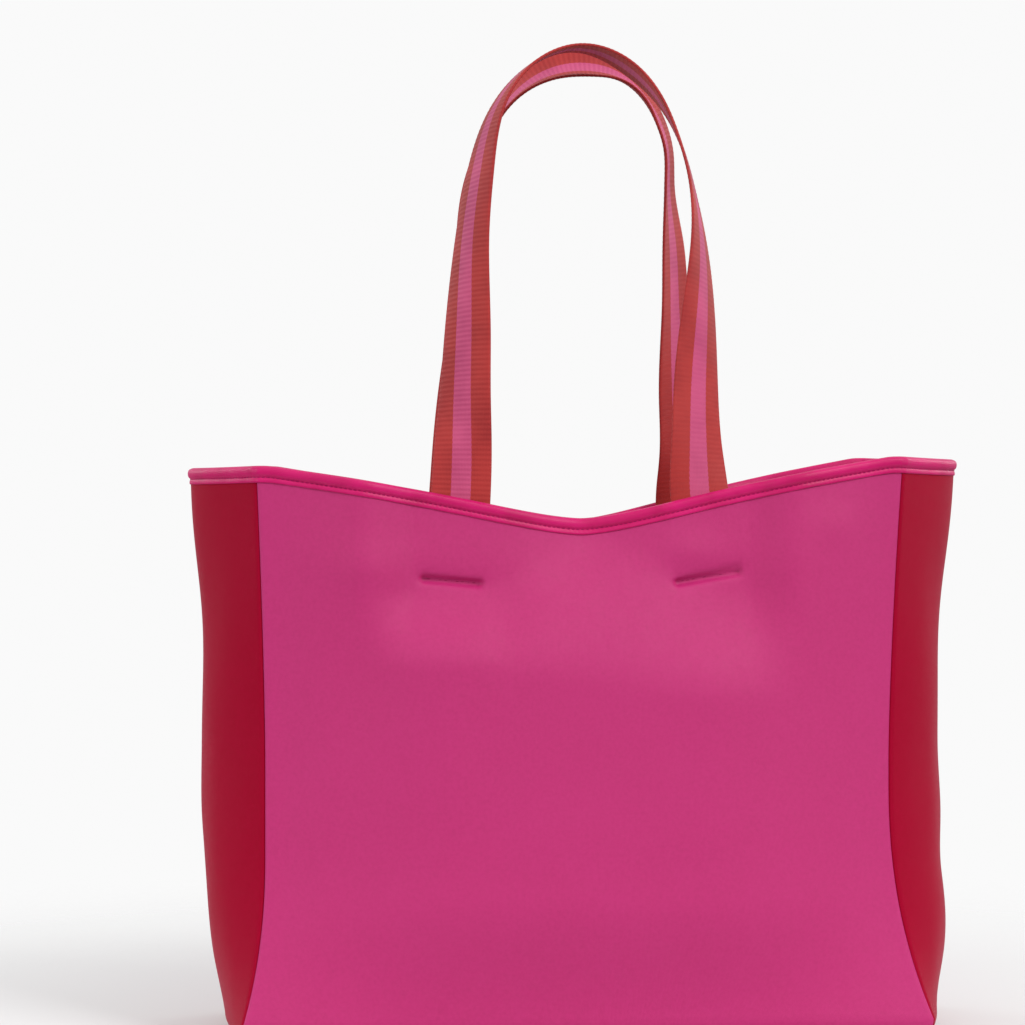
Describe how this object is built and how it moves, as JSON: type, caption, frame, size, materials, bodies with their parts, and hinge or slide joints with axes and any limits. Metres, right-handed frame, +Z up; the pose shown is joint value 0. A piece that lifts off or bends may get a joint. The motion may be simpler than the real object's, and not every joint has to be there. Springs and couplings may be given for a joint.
{
  "type": "beach bag",
  "caption": "Open-topped neoprene beach tote with splayed side gussets, a bound curved rim, a stiff base and striped webbing handles that fold down outside.",
  "frame": {"origin": "middle of the base, on the surface that the bag stands on", "axes": "+X to the right of someone who faces the front panel, -Y out of the front panel, +Z up"},
  "size_m": [0.5044, 0.166, 0.644],
  "materials": {
    "panel_neoprene": "matte knit-faced neoprene, magenta",
    "gusset_neoprene": "matte knit-faced neoprene, deep red",
    "binding": "smooth elastic binding tape with a soft sheen, magenta",
    "seam_tape": "smooth binding tape, magenta",
    "webbing": "ribbed woven webbing, red with a pink middle stripe",
    "thread": "twisted polyester thread, dark magenta",
    "board": "matte pebbled polyethylene board, dark grey"
  },
  "bodies": {
    "bag": {"front_panel": "panel_neoprene", "back_panel": "panel_neoprene", "left_gusset": "gusset_neoprene", "right_gusset": "gusset_neoprene", "base_panel": "panel_neoprene", "base_board": "board", "base_seam_tape": "seam_tape", "seam_tape_front_left": "seam_tape", "seam_tape_front_right": "seam_tape", "seam_tape_back_left": "seam_tape", "seam_tape_back_right": "seam_tape", "rim_binding": "binding", "front_handle_left_end": "webbing", "front_handle_right_end": "webbing", "back_handle_left_end": "webbing", "back_handle_right_end": "webbing", "front_left_stitch": "thread", "front_right_stitch": "thread", "back_left_stitch": "thread", "back_right_stitch": "thread"},
    "front_loop": {"front_handle": "webbing"},
    "back_loop": {"back_handle": "webbing"}
  },
  "joints": [
    {"name": "front_handle_fold", "type": "hinge", "parent": "bag", "child": "front_loop", "pos_m": [0, -0.0709, 0.3558], "axis": [1, 0, 0], "range_deg": [0, 170]},
    {"name": "back_handle_fold", "type": "hinge", "parent": "bag", "child": "back_loop", "pos_m": [0, 0.0709, 0.3558], "axis": [-1, 0, 0], "range_deg": [0, 170]}
  ]
}
